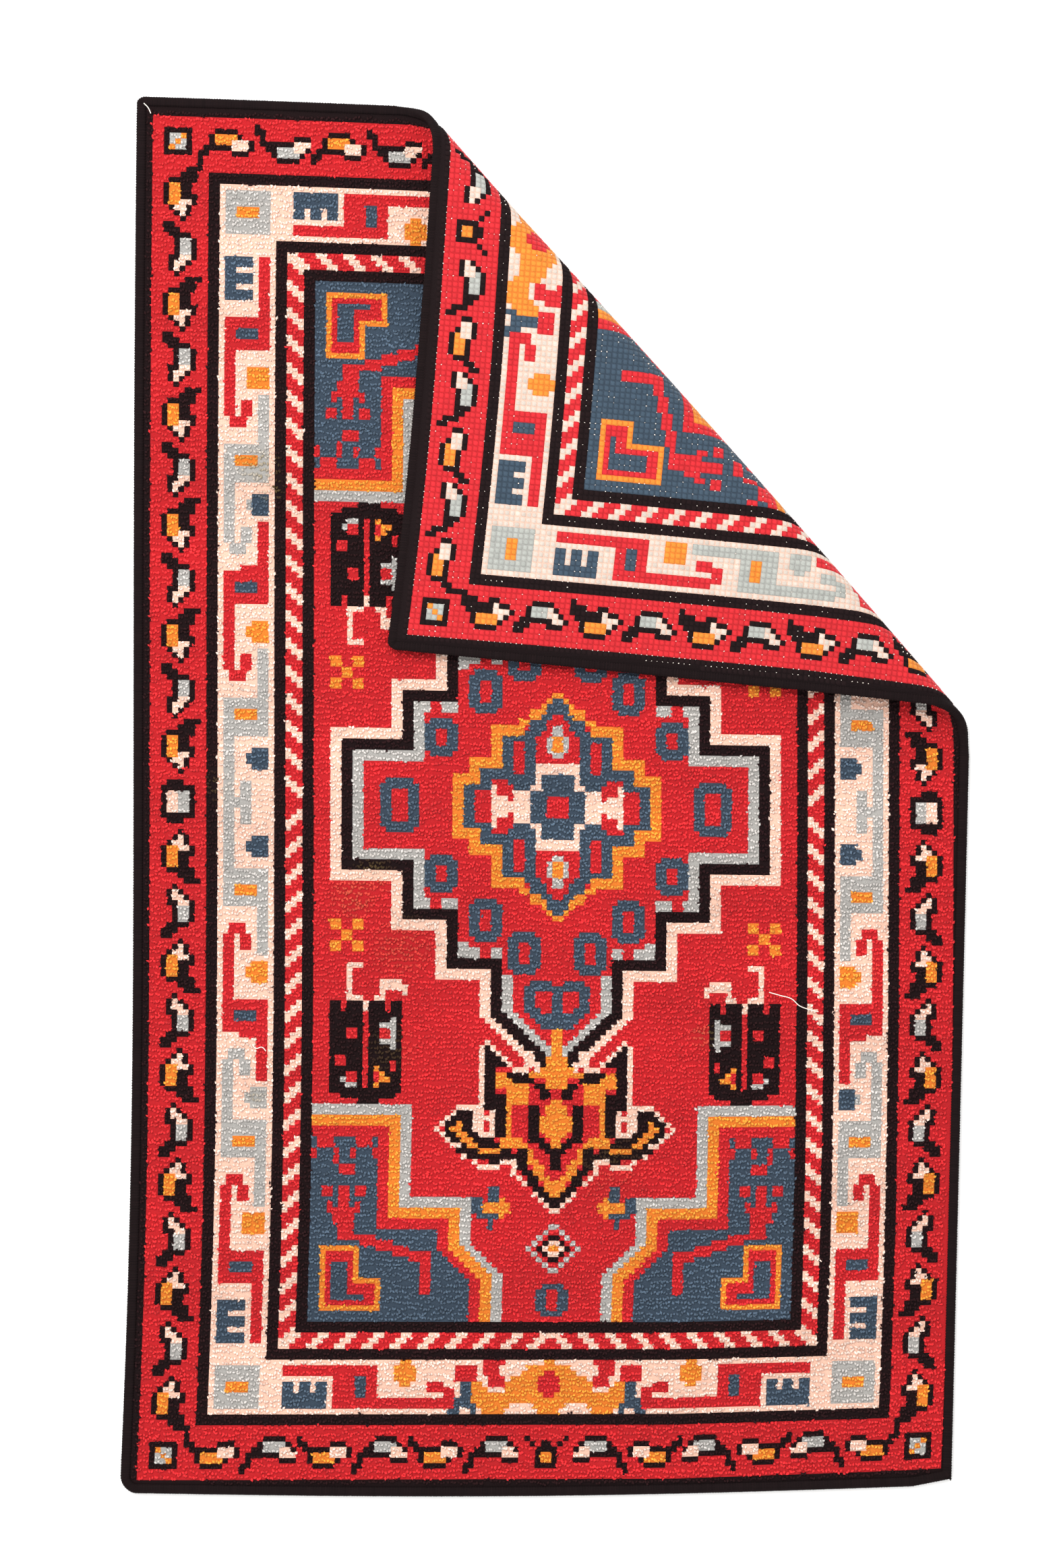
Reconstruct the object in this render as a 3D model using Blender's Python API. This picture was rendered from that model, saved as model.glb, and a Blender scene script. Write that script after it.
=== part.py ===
# A knotted wool rug, lying face up on the floor with its far right corner folded over.
# +X runs to the right, +Y away from the viewer and +Z up, in metres.
# The cloth is made flat first, then bent over a roll that runs across the far right corner.
import math

import bmesh
import bpy
from mathutils import Vector

# Corners of the cloth laid flat, a little out of square as the real one
CORNERS = {
    "near_left": Vector((-0.38745, -0.6345)),
    "near_right": Vector((0.37055, -0.6272)),
    "far_left": Vector((-0.37185, 0.6382)),
    "far_right": Vector((0.40085, 0.6149)),
}
CORNER_RADIUS = 0.017
LEFT_BOW_IN = 0.0065
FAR_BOW_IN = 0.0050
NEAR_BOW_OUT = 0.0065

CLOTH_THICK = 0.0090
CLOTH_ROUNDING = 0.0010
WHIPPING_THICK = 0.0076
WHIPPING_WIDTH = 0.0095
WHIPPING_ROUNDING = 0.0022
SEWN_GAP = 0.0005

# The fold: its outer edge is this far from the origin along the normal, which points to the folded corner
FOLD_ANGLE = math.radians(41.46)
FOLD_NORMAL = Vector((math.cos(FOLD_ANGLE), math.sin(FOLD_ANGLE)))
FOLD_EDGE = 0.33193
ROLL_RADIUS = 0.0175
SLOPE_ANGLE = math.radians(10)
SETTLE_RADIUS = 0.150
LAYER_GAP = 0.0010
FOLD_START = FOLD_EDGE - ROLL_RADIUS

# The roll bulges outwards in the middle of its length
BULGE = 0.0035
BULGE_CENTRE = -0.0740
BULGE_HALF_LENGTH = 0.335

# The bend as seen from the side: a roll, a straight slope down, and a wide curve that levels out
ROLL_LENGTH = ROLL_RADIUS * (math.pi + SLOPE_ANGLE)
FLAP_HEIGHT = 2 * CLOTH_THICK + LAYER_GAP
SETTLE_DROP = SETTLE_RADIUS * (1 - math.cos(SLOPE_ANGLE))
SLOPE_DROP = ROLL_RADIUS * (1 + math.cos(SLOPE_ANGLE)) - SETTLE_DROP - FLAP_HEIGHT
SLOPE_LENGTH = SLOPE_DROP / math.sin(SLOPE_ANGLE)
SETTLE_LENGTH = SETTLE_RADIUS * SLOPE_ANGLE

# How finely the flat cloth and the bend are divided
CELLS_ACROSS = 12
CELLS_ALONG = 20
CORNER_STEPS = 5
BEND_STEPS = ((ROLL_LENGTH, 18), (SLOPE_LENGTH, 2), (SETTLE_LENGTH, 4))


def clear_scene():
    for thing in list(bpy.data.objects):
        bpy.data.objects.remove(thing, do_unlink=True)


def wool(name, colour, roughness):
    material = bpy.data.materials.new(name)
    material.use_nodes = True
    shader = material.node_tree.nodes["Principled BSDF"]
    shader.inputs["Base Color"].default_value = (*colour, 1)
    shader.inputs["Roughness"].default_value = roughness
    shader.inputs["Metallic"].default_value = 0
    return material


def flat_place(across, along):
    # Plan position of a point of the unfolded cloth.
    # across runs from 0 at the left to 1 at the right, along from 0 at the near end to 1 at the far end.
    near = CORNERS["near_left"].lerp(CORNERS["near_right"], across)
    far = CORNERS["far_left"].lerp(CORNERS["far_right"], across)
    place = near.lerp(far, along)
    place.x += LEFT_BOW_IN * math.sin(math.pi * (1 - along) ** 2) * (1 - across)
    place.y -= FAR_BOW_IN * math.sin(math.pi * across**2) * along
    place.y -= NEAR_BOW_OUT * math.sin(math.pi * across) * (1 - along)
    return place


def bend(run):
    # Where the back of the cloth is after this run past the start of the fold: out, height and turn.
    if run <= 0:
        return run, 0.0, 0.0
    rolled = min(run, ROLL_LENGTH) / ROLL_RADIUS
    slope = min(max(run - ROLL_LENGTH, 0), SLOPE_LENGTH)
    settled = min(max(run - ROLL_LENGTH - SLOPE_LENGTH, 0), SETTLE_LENGTH) / SETTLE_RADIUS
    level = max(run - ROLL_LENGTH - SLOPE_LENGTH - SETTLE_LENGTH, 0)
    steep, tilt = SLOPE_ANGLE, SLOPE_ANGLE - settled
    out = ROLL_RADIUS * math.sin(rolled) - slope * math.cos(steep)
    out -= SETTLE_RADIUS * (math.sin(steep) - math.sin(tilt)) + level
    height = ROLL_RADIUS * (1 - math.cos(rolled)) - slope * math.sin(steep)
    height -= SETTLE_RADIUS * (math.cos(tilt) - math.cos(steep))
    return out, height, rolled - settled


def folded_place(place):
    # Bends a point of the flat cloth, whose z is its depth above the back.
    plan = place.to_2d()
    run = plan.dot(FOLD_NORMAL) - FOLD_START
    out, height, turn = bend(run)
    out -= place.z * math.sin(turn)
    height += place.z * math.cos(turn)
    side = plan.x * FOLD_NORMAL.y - plan.y * FOLD_NORMAL.x
    off_centre = (side - BULGE_CENTRE) / BULGE_HALF_LENGTH
    out += BULGE * max(1 - off_centre**2, 0) * min(max(run / ROLL_RADIUS, 0), 1)
    moved = plan + FOLD_NORMAL * (out - run)
    return Vector((moved.x, moved.y, height))


def flat_sheet(rim_width):
    # The whole rug as a flat open sheet with rounded corners. It also gives the strip along its rim.
    sheet = bmesh.new()
    bmesh.ops.create_grid(sheet, x_segments=CELLS_ACROSS, y_segments=CELLS_ALONG, size=0.5)
    for point in sheet.verts:
        point.co = flat_place(point.co.x + 0.5, point.co.y + 0.5).to_3d()
    tips = [point for point in sheet.verts if len(point.link_edges) == 2]
    bmesh.ops.bevel(
        sheet,
        geom=tips,
        offset=CORNER_RADIUS,
        segments=CORNER_STEPS,
        profile=0.5,
        affect="VERTICES",
    )
    rim = bmesh.ops.inset_region(
        sheet,
        faces=sheet.faces[:],
        thickness=rim_width,
        use_boundary=True,
        use_even_offset=True,
    )["faces"]
    return sheet, rim


def thicken(sheet, thick):
    # Gives the flat sheet its thickness upwards, as one closed solid.
    raised = bmesh.ops.extrude_face_region(sheet, geom=sheet.faces[:])["geom"]
    top = [part for part in raised if isinstance(part, bmesh.types.BMVert)]
    bmesh.ops.translate(sheet, verts=top, vec=(0, 0, thick))
    bmesh.ops.recalc_face_normals(sheet, faces=sheet.faces[:])


def round_rims(sheet, levels, radius, steps):
    # Rounds the edges where the walls meet the face or the back, at the given heights.
    def is_rim(edge):
        level = any(all(abs(point.co.z - z) < 1e-6 for point in edge.verts) for z in levels)
        return level and edge.calc_face_angle(0) > 1

    rims = [edge for edge in sheet.edges if is_rim(edge)]
    bmesh.ops.bevel(
        sheet,
        geom=rims,
        offset=radius,
        segments=steps,
        profile=0.5,
        affect="EDGES",
        clamp_overlap=False,
    )


def fold_corner(sheet):
    # Cuts the flat solid along lines that follow the fold, then bends it over the roll.
    normal = FOLD_NORMAL.to_3d()
    reached = FOLD_START
    cuts = [reached]
    for length, steps in BEND_STEPS:
        cuts += [reached + length * step / steps for step in range(1, steps + 1)]
        reached += length
    for cut in cuts:
        bmesh.ops.bisect_plane(
            sheet,
            geom=sheet.verts[:] + sheet.edges[:] + sheet.faces[:],
            dist=1e-6,
            plane_co=normal * cut,
            plane_no=normal,
        )
    for point in sheet.verts:
        point.co = folded_place(point.co)


def add_piece(name, sheet, material, collection):
    mesh = bpy.data.meshes.new(name)
    sheet.to_mesh(mesh)
    sheet.free()
    mesh.materials.append(material)
    mesh.shade_smooth()
    mesh.set_sharp_from_angle(angle=math.radians(40))
    piece = bpy.data.objects.new(name, mesh)
    collection.objects.link(piece)


def make_rug_cloth(collection):
    sheet, rim = flat_sheet(WHIPPING_WIDTH + SEWN_GAP)
    bmesh.ops.delete(sheet, geom=rim, context="FACES")
    thicken(sheet, CLOTH_THICK)
    round_rims(sheet, [CLOTH_THICK], CLOTH_ROUNDING, 1)
    fold_corner(sheet)
    add_piece("rug_cloth", sheet, wool("red_wool_pile", (0.60, 0.02, 0.03), 0.9), collection)


def make_edge_whipping(collection):
    sheet, rim = flat_sheet(WHIPPING_WIDTH)
    kept = set(rim)
    inner = [face for face in sheet.faces if face not in kept]
    bmesh.ops.delete(sheet, geom=inner, context="FACES")
    thicken(sheet, WHIPPING_THICK)
    round_rims(sheet, [0, WHIPPING_THICK], WHIPPING_ROUNDING, 2)
    fold_corner(sheet)
    black = wool("black_wool_overcast", (0.018, 0.013, 0.014), 0.85)
    add_piece("edge_whipping", sheet, black, collection)


def main():
    clear_scene()
    collection = bpy.data.collections.new("folded_rug")
    bpy.context.scene.collection.children.link(collection)
    make_rug_cloth(collection)
    make_edge_whipping(collection)


main()
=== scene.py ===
import math

import bpy
import numpy as np
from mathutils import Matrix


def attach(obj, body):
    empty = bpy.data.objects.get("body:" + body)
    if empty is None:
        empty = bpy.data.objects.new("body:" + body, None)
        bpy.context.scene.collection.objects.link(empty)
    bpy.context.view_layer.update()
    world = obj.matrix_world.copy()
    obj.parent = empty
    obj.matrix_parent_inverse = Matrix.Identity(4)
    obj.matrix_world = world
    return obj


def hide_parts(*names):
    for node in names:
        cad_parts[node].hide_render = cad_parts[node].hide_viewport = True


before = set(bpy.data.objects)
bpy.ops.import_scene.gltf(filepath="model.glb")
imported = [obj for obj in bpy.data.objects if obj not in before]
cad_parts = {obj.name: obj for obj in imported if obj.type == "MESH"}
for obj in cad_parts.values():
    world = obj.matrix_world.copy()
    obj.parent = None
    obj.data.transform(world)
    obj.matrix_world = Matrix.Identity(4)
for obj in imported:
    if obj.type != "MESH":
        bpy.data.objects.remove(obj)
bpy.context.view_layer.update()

randomDraw = np.random.default_rng(41)  # every uneven thing below is drawn from this one seed

# The cloth laid flat, in metres: +X to the right, +Y away from the viewer.
# Its plan is that of the solids, apart from the tips of its corners.
cloth = {
    "nearLeft": (-0.38745, -0.6345),
    "nearRight": (0.37055, -0.6272),
    "farLeft": (-0.37185, 0.6382),
    "farRight": (0.40085, 0.6149),
    "cornerRadii": {"nearLeft": 0.0135, "nearRight": 0.0040, "farRight": 0.0070, "farLeft": 0.0060},
    "leftBowIn": 0.0065,
    "farBowIn": 0.0050,
    "nearBowOut": 0.0065,
    "nearTipCut": (0.335, 0.16),  # the near edge slants up from here to the right corner
    "cutSize": (0.765, 1.257),
}

# The corner folded over a soft roll
fold = {
    "angle": math.radians(41.46),
    "edge": 0.33193,
    "rollRadius": 0.0175,
    "slopeAngle": math.radians(10),
    "settleRadius": 0.150,
    "clothThickness": 0.0090,
    "layerGap": 0.0010,
    "bulge": 0.0035,
    "bulgeCentre": -0.0740,
    "bulgeHalfLength": 0.335,
}


def between(low, high, share):
    return low + (high - low) * share


def leftX(y):
    along = (y - cloth["nearLeft"][1]) / (cloth["farLeft"][1] - cloth["nearLeft"][1])
    straight = between(cloth["nearLeft"][0], cloth["farLeft"][0], along)
    return straight + cloth["leftBowIn"] * np.sin(np.pi * (1 - along) ** 2)


def rightX(y):
    along = (y - cloth["nearRight"][1]) / (cloth["farRight"][1] - cloth["nearRight"][1])
    return between(cloth["nearRight"][0], cloth["farRight"][0], along)


def nearY(x):
    across = (x - cloth["nearLeft"][0]) / (cloth["nearRight"][0] - cloth["nearLeft"][0])
    straight = between(cloth["nearLeft"][1], cloth["nearRight"][1], across)
    start, slant = cloth["nearTipCut"]
    return straight - cloth["nearBowOut"] * np.sin(np.pi * across) + slant * np.maximum(x - start, 0)


def farY(x):
    across = (x - cloth["farLeft"][0]) / (cloth["farRight"][0] - cloth["farLeft"][0])
    straight = between(cloth["farLeft"][1], cloth["farRight"][1], across)
    return straight - cloth["farBowIn"] * np.sin(np.pi * across**2)


def rimDistance(x, y):
    # How far inside the cloth's edge a flat place is, with its one wide corner rounded
    sideways = np.minimum(x - leftX(y), rightX(y) - x)
    endways = np.minimum(y - nearY(x), farY(x) - y)
    radius = cloth["cornerRadii"]["nearLeft"]
    atCorner = (sideways < radius) & (endways < radius) & (x < 0) & (y < 0)
    rounded = radius - np.hypot(radius - sideways, radius - endways)
    return np.where(atCorner, rounded, np.minimum(sideways, endways))


foldNormal = np.array([math.cos(fold["angle"]), math.sin(fold["angle"])])
foldStart = fold["edge"] - fold["rollRadius"]
rollLength = fold["rollRadius"] * (math.pi + fold["slopeAngle"])
settleDrop = fold["settleRadius"] * (1 - math.cos(fold["slopeAngle"]))
flapHeight = 2 * fold["clothThickness"] + fold["layerGap"]
slopeDrop = fold["rollRadius"] * (1 + math.cos(fold["slopeAngle"])) - settleDrop - flapHeight
slopeLength = slopeDrop / math.sin(fold["slopeAngle"])
settleLength = fold["settleRadius"] * fold["slopeAngle"]


def bend(run):
    # The back of the cloth past the start of the fold: how far out, how high and how far turned
    radius, steep, settle = fold["rollRadius"], fold["slopeAngle"], fold["settleRadius"]
    rolled = np.clip(run, 0, rollLength) / radius
    slope = np.clip(run - rollLength, 0, slopeLength)
    settled = np.clip(run - rollLength - slopeLength, 0, settleLength) / settle
    level = np.maximum(run - rollLength - slopeLength - settleLength, 0)
    tilt = steep - settled
    out = np.minimum(run, 0) + radius * np.sin(rolled) - slope * math.cos(steep)
    out = out - settle * (math.sin(steep) - np.sin(tilt)) - level
    height = radius * (1 - np.cos(rolled)) - slope * math.sin(steep)
    height = height - settle * (np.cos(tilt) - math.cos(steep))
    return out, height, rolled - settled


def folded(flat):
    # Bends points of the flat cloth, whose z is their height above its back
    run = flat[:, :2] @ foldNormal - foldStart
    out, height, turn = bend(run)
    out = out - flat[:, 2] * np.sin(turn)
    side = flat[:, 0] * foldNormal[1] - flat[:, 1] * foldNormal[0]
    offCentre = (side - fold["bulgeCentre"]) / fold["bulgeHalfLength"]
    swell = np.maximum(1 - offCentre**2, 0) * np.clip(run / fold["rollRadius"], 0, 1)
    out = out + fold["bulge"] * swell
    placed = flat.copy()
    placed[:, :2] += foldNormal * (out - run)[:, None]
    placed[:, 2] = height + flat[:, 2] * np.cos(turn)
    return placed


# The knots, counted from the middle of the rug: columns to the right, rows towards the viewer
knots = {
    "columns": 73,
    "rows": 124,
    "spare": 5,  # knots counted past the red edge, where the black edge is wider
    "pitch": 0.0050,
    # the field inside the striped cord
    "fieldColumns": 44,
    "fieldRows": 95,
    # columns from the middle and their distance from the cloth's left edge
    "columnMarks": (-78, -73, -44, 0, 44, 73, 78),
    "columnPlaces": (-0.0095, 0.0153, 0.1647, 0.3871, 0.6049, 0.7472, 0.7717),
    # the middle row, and the row at each end of the red
    "middleY": -0.00978,
    "middleSlope": -0.016,
    "nearXs": (-0.3123, 0.1171, 0.3012, 0.3932),
    "nearYs": (-0.6223, -0.6210, -0.6146, -0.6100),
    "farY": 0.60959,
    "farSlope": -0.030,
    "farBow": 0.0049,
    # towards the far right corner the columns spread a little more
    "flare": 0.0104,
    "flareFrom": -50,
}


def knotPlace(column, row):
    # The flat place of a point of the knot grid, which follows the cloth's uneven edges.
    # Three rounds settle x and y on each other.
    y = -row * knots["pitch"]
    for _ in range(3):
        x = leftX(y) + np.interp(column, knots["columnMarks"], knots["columnPlaces"])
        flareRows = np.clip((knots["flareFrom"] - row) / (knots["rows"] + knots["flareFrom"]), 0, 1)
        x = x + knots["flare"] * flareRows * np.clip(column / knots["columns"], 0, 1)
        middle = knots["middleY"] + knots["middleSlope"] * x
        near = np.interp(x, knots["nearXs"], knots["nearYs"])
        across = np.clip((x - cloth["farLeft"][0]) / cloth["cutSize"][0], 0, 1)
        far = knots["farY"] + knots["farSlope"] * x - knots["farBow"] * np.sin(np.pi * across**2)
        end = np.where(row > 0, near, far)
        y = middle + (end - middle) * np.abs(row) / knots["rows"]
    return x, y


# The design is knotted from a chart of one quarter, mirrored both ways.
# a counts columns from the middle and b counts rows from the middle.
yarns = ("red", "black", "cream", "orange", "slate", "sky")
yarnOf = {"r": 0, "k": 1, "c": 2, "o": 3, "s": 4, "g": 5}
quarter = np.zeros((knots["rows"] + knots["spare"], knots["columns"] + knots["spare"]), int)
cellB, cellA = np.indices(quarter.shape) + 0.5


def bars(text):
    # Each line knots one bar: its yarn, then a from and to, then b from and to
    for line in text.split("/"):
        yarn, *ends = line.split()
        a0, a1, b0, b1 = map(float, ends)
        quarter[(a0 <= cellA) & (cellA < a1) & (b0 <= cellB) & (cellB < b1)] = yarnOf[yarn]


def borderBars(text):
    # Bars of the long border, whose first pair counts inwards from its outer edge
    outer = knots["columns"] - 12
    for line in text.split("/"):
        yarn, i0, i1, b0, b1 = line.split()
        bars(f"{yarn} {outer - float(i1)} {outer - float(i0)} {b0} {b1}")


def chartRows(rows, place):
    # A small figure written out knot by knot, one letter each
    for down, row in enumerate(rows.split()):
        for along, letter in enumerate(row):
            b, a = place(down, along)
            quarter[b, a] = yarnOf[letter]


def paintBands():
    # Red guard stripe, cream border, striped cord and the black lines between them
    inset = np.minimum(knots["columns"] - cellA, knots["rows"] - cellB)
    edges = (-99, 0, 10, 12, 22, 24, 27, 29)
    for yarn, start, end in zip("krkckrk", edges, edges[1:]):
        quarter[(start <= inset) & (inset < end)] = yarnOf[yarn]
    # stripes of the cord: two knots of cream in every five, one further on in each line
    cordStart, cordEnd = edges[5:7]
    cord = (cordStart <= inset) & (inset < cordEnd)
    longSide = knots["columns"] - cellA < knots["rows"] - cellB
    step = np.floor(inset) - cordStart
    byRow = (np.floor(cellB) + step) % 5 >= 3
    byColumn = (np.floor(cellA) + step) % 5
    byColumn = (byColumn >= 2) & (byColumn < 4)
    quarter[cord & np.where(longSide, byRow, byColumn)] = yarnOf["c"]


guardLeaves = {
    "longOrange": "rrrrrkrrrr rrrrkckrrr rrrkcckrrr rrkoocckrr rrkookkkrr"
    " rrkookkrrr rrkookkrrr rrrkkkkkrr rrrrrkkkrr rrrrrrkkkr",
    "longSky": "rrrrkrrrrr rrrkckrrrr rrrkcckrrr rrrkkcckrr rrrrkggkrr"
    " rrrrkggkrr rrrrkggkrr rrrkkkkrrr rrkkkrrrrr rrkkrrrrrr",
    "shortOrange": "krrrrrrrrr kkrrrrkkkr rkkkkkccck rrkoooccck rrkooookrr rrrkkkkrrr",
    "shortSky": "rrrrkkkkrr rrrkggggkr rrkkgggcck rkkkkkkccc rkrrrrrkkk kkrrrrrrrr krrrrrrrrr",
    "longStarts": (5, 15, 25, 35, 45, 55, 65, 75, 85, 95, 105),
    "shortStarts": (64, 54, 44, 34, 24, 14),
}


def paintGuard():
    outerColumn = knots["columns"] - 1
    for turn, start in enumerate(guardLeaves["longStarts"]):
        leaf = guardLeaves["longSky" if turn % 2 else "longOrange"]
        chartRows(leaf, lambda down, along: (start + down, outerColumn - along))
    for turn, start in enumerate(guardLeaves["shortStarts"]):
        leaf = guardLeaves["shortSky" if turn % 2 else "shortOrange"]
        chartRows(leaf, lambda down, along: (116 + down, start - along))
    # small figures in the middle of each side, and the boxes in the corners
    bars("c 68 70 0 2/g 66 68 0 2/k 70 71 0 3/k 67 70 2 4/k 65 66 0 3/k 66 67 2 3")
    bars("k 0 2 118 122/o 0 1 119 121/k 0 1 117 118/k 2 3 117 118/k 3 4 116 117")
    bars("k 66 71 117 122/g 67 70 118 121/o 69 70 118 119/o 68 69 119 120/o 67 68 120 121")
    bars("k 64 65 115 116")


def paintBorder():
    # hooks, bars and boxes along the long sides
    borderBars(
        "g 1 3 0 12/g 3 6 0 1/g 4 6 1 4/s 6 9 6 10/s 5 6 7 9/g 1 9 12 19/o 3 7 15 17/"
        "g 7 9 19 28/r 2 5 22 24/r 4 6 24 27/r 1 3 24 36/o 6 9 29 33/o 5 6 30 32/"
        "r 1 9 36 42/r 4 9 42 43/s 3 7 38 40/r 7 9 42 51/g 1 3 47 58/g 2 5 45 47/"
        "g 4 6 47 50/g 6 9 52 56/g 5 6 53 55/g 1 9 58 65/o 3 7 61 63/g 7 9 65 74/"
        "r 2 5 68 70/r 4 6 70 73/r 1 3 70 82/o 5 9 75 79/r 1 9 82 88/s 3 7 84 86/"
        "r 7 9 88 99/s 1 3 91 99/s 3 6 91 93/s 3 6 94 96/s 3 6 97 99/"
        "g 1 9 103 111/o 3 7 106 108"
    )
    # the same kind of figures along the short sides
    bars(
        "s 40 48 108 111/s 46 48 106 108/s 43 45 106 108/s 40 42 106 108/r 39 48 103 105/"
        "r 31 39 103 111/s 33 35 105 109/r 18 31 109 111/r 17 19 107 111/r 19 22.5 106 108/"
        "c 19 21.6 108 109/o 24 28 103 106/o 25 27 102 107/r 13 17 103 106/s 14 16 106 110/"
        "s 13 17 109.5 111/s 16 18 111 112/s 13 14 111 112/r 8 12 102 103.5/"
        "r 9.5 12 103.5 105.5/r 8 11 105 107.5"
    )
    crown = {102: 1.5, 103: 4.3, 104: 5.3, 105: 6.6, 106: 7.6, 107: 8.3, 108: 14, 109: 14}
    for b, reach in crown.items():
        bars(f"o 0 {reach} {b} {b + 1}")
    bars(
        "o 12 14 106 107/o 11.5 14 107 108/o 7.3 13.5 110 111/o 0 2.8 110 111/"
        "o 8 12 111 112/o 0 2 111 112/c 3 7 109.7 112/r 0 1 104 109/r 1 2 105 108"
    )


def paintMedallion():
    # A stepped hexagon outlined in cream, black and sky round a red ground
    bands = (("c", 0, 52.5), ("k", 2, 50.5), ("g", 4, 47.5), ("r", 6, 45.5))
    for yarn, inset, reach in bands:
        inside = (cellA < 41 - inset) & (cellB < 14 - inset)
        inside |= (cellA < 30.4 - inset) & (cellB < 23 - inset)
        inside |= (cellA < 22 - inset) & (cellB < 32 - inset)
        inside |= (cellA < 14.2 - inset) & (cellA + cellB < reach)
        quarter[inside] = yarnOf[yarn]
    bars("r 21 23 17 19/r 16 18 17 25/r 12 14 26 28/r 8 10 26 31")
    # slate rings inside it, each with a red middle
    rings = (
        (25, 32, -5, 5, "27 30 0 3"),
        (18, 24, 9, 16, "20 22 11 14"),
        (10, 16, 17, 25, "12 14 19 23"),
        (3, 9, 23, 31, "5 7 25 29"),
    )
    for a0, a1, b0, b1, middle in rings:
        bars(f"s {a0 + 1} {a1 - 1} {b0} {b1}/s {a0} {a1} {b0 + 1} {b1 - 1}/r {middle}")
    bars("s 1 5 32 33/s 0 6 33 38/s 0 5 38 39/s 0 4 39 40/s 0 3 40 41/r 1 4 34 37/r 1 3 37 38")


def paintStar():
    bars(
        "o 17 19 0 4.5/o 14 19 4.5 6.2/o 13.7 15.7 6.2 7.3/o 9.8 16 7.3 9.2/"
        "o 9.8 11.6 9.2 13.3/o 6.3 11.6 13.2 15/o 5.3 6.8 15 16/o 3.5 5.5 16 17/"
        "o 2.3 4.8 17 18/o 1.4 3 18 19/o 0.4 1.9 19 20/o 0 1.3 20 21/"
        "s 15 17 0 2.6/s 12.3 17 2.6 4.3/s 8.5 14 4.4 7.3/s 4 8.3 3.2 6.5/"
        "s 8.2 9.8 7.3 12.5/s 4 5.7 6 14/s 4 9.7 11.7 13.3/s 3.5 5.8 13.3 14.5/"
        "s 2 5 14.5 16/s 0.8 3.3 15.7 17.3/s 0 2 17 18.7/s 0 0.7 19 20/"
        "r 12 15 0 2.4/r 5.8 8 6.7 11.3/c 5 12 0 1/c 10.7 12 1 4.3/c 9 11 1 2/c 5 8 1 3.2/"
        "c 3 5 3.2 4.2/c 3 4 4 6.3/c 0 4 6.3 8.2/r 8 9 1 2/r 8 10.3 2 3.3/"
        "r 8.2 11 3.3 4.5/r 8.7 12 4.5 5.2/s 2.3 5 0 3.2/s 0 3 2.4 6.3/r 0 2.3 0 2.4/"
        "o 0 1.2 10.3 13.3/g 0 1.3 9.3 10.3/g 1.2 2.2 10.3 13.5/g 0 1.3 13.3 15"
    )


def paintField():
    # small crosses and hooked curls beside the medallion
    bars(
        "o 35 37 21.5 23.5/o 39 41 21.5 23.5/o 35 37 25.3 27.3/o 39 41 25.3 27.3/"
        "o 37 39 23.4 25.3/c 35 38 29.5 30.5/c 37 38 30.5 36/c 35 38 35.3 36.3/"
        "c 33 35 36.3 38.3/c 31 33 35.3 36.3/c 31 32 32.5 35.3/c 28 32 32.3 33.8/"
        "c 27 28 33.5 35.2"
    )
    # pairs of black towers
    bars(
        "k 35 41 36.3 53.3/k 28 34 36.3 53.3/k 28 41 52.4 53.4/k 29.5 39.5 53.4 54.4/"
        "k 32.5 36.5 54.4 55.3/r 34 35 38 52/r 38 39 36.3 38/r 30 31 36.3 38/"
        "r 36 38 41.3 43.5/r 38 40 45.7 48.5/g 36 38 48.6 49.6/g 38 39 49.6 51.5/"
        "g 36 38 51.5 52.4/r 36 38 49.5 51.5/g 29 30 38.7 45.5/g 30 32 40 41.3/"
        "g 30 32 43 44/r 30 32 41.3 42.7/r 29 30 47 49/o 32 33 47.8 48.8/"
        "o 31 33 48.8 49.8/o 30 32 49.8 50.8/o 32 33 50.8 52.4/r 32 33 49.4 50.6"
    )
    # lozenge and ring on the middle line
    lozenge = cellA + np.abs(cellB - 81.2)
    for yarn, reach in (("g", 5.2), ("r", 4.1), ("k", 3.1), ("c", 2.1), ("o", 1.0)):
        quarter[lozenge < reach] = yarnOf[yarn]
    bars(
        "o 8.5 12.7 73 75/o 9.4 10.6 72 76/s 10.5 12.5 70 72.7/s 12.7 14.8 72.5 75/"
        "s 10.5 14 75 76/s 11 12.5 76 78/s 0 2 88 94/s 2 3 89 93/r 0 1 89 93"
    )


def paintCorners():
    # Stepped slate corners behind sky, orange and red lines
    for yarn, inset in (("g", 0), ("o", 2), ("r", 4), ("s", 6)):
        inside = (cellA > 26 + inset) & (cellB > 55.3 + inset)
        inside |= (cellA > 15 + inset) & (cellB > 71.5 + inset)
        inside |= (cellA > 9 + inset) & (cellB > 78) & (cellA + cellB > 95.2 + 1.25 * inset)
        inField = (cellA < knots["fieldColumns"]) & (cellB < knots["fieldRows"])
        quarter[inside & inField] = yarnOf[yarn]
    # a red flower on its stem, and a key
    bars(
        "r 30 44 59.3 61.4/r 33.2 36.3 61.5 63.3/r 40 43 61.5 63.3/r 31 33 63.4 65.3/"
        "r 36.3 37.4 63.4 65.3/r 38.8 40 63.4 65.3/r 43 44 63.4 65.3/r 39 40 65.3 66.5/"
        "r 36.4 39 66 68.5/r 34 36 70 72.5/r 40 42 70 72.5/"
        "r 37 39 70 74/r 35 36 73 75/r 40 41 73 75/r 36 40 74 77/r 36 39 77 79/"
        "r 35 39 78.7 80.5/r 32 35 79.5 81.2/"
        "r 29 32 80.5 82.3/r 26 29 81.5 83.3/r 22.3 26.5 82.3 84.2/r 22.2 24.3 82.3 90/"
        "o 35 42 81.4 93.3/o 31 35 87.4 93.3/r 36 41 82.4 92.3/r 32 36 88.4 92.3/"
        "s 37 40 84.4 91.2/s 34.3 37.5 89.7 91.3"
    )


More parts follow.
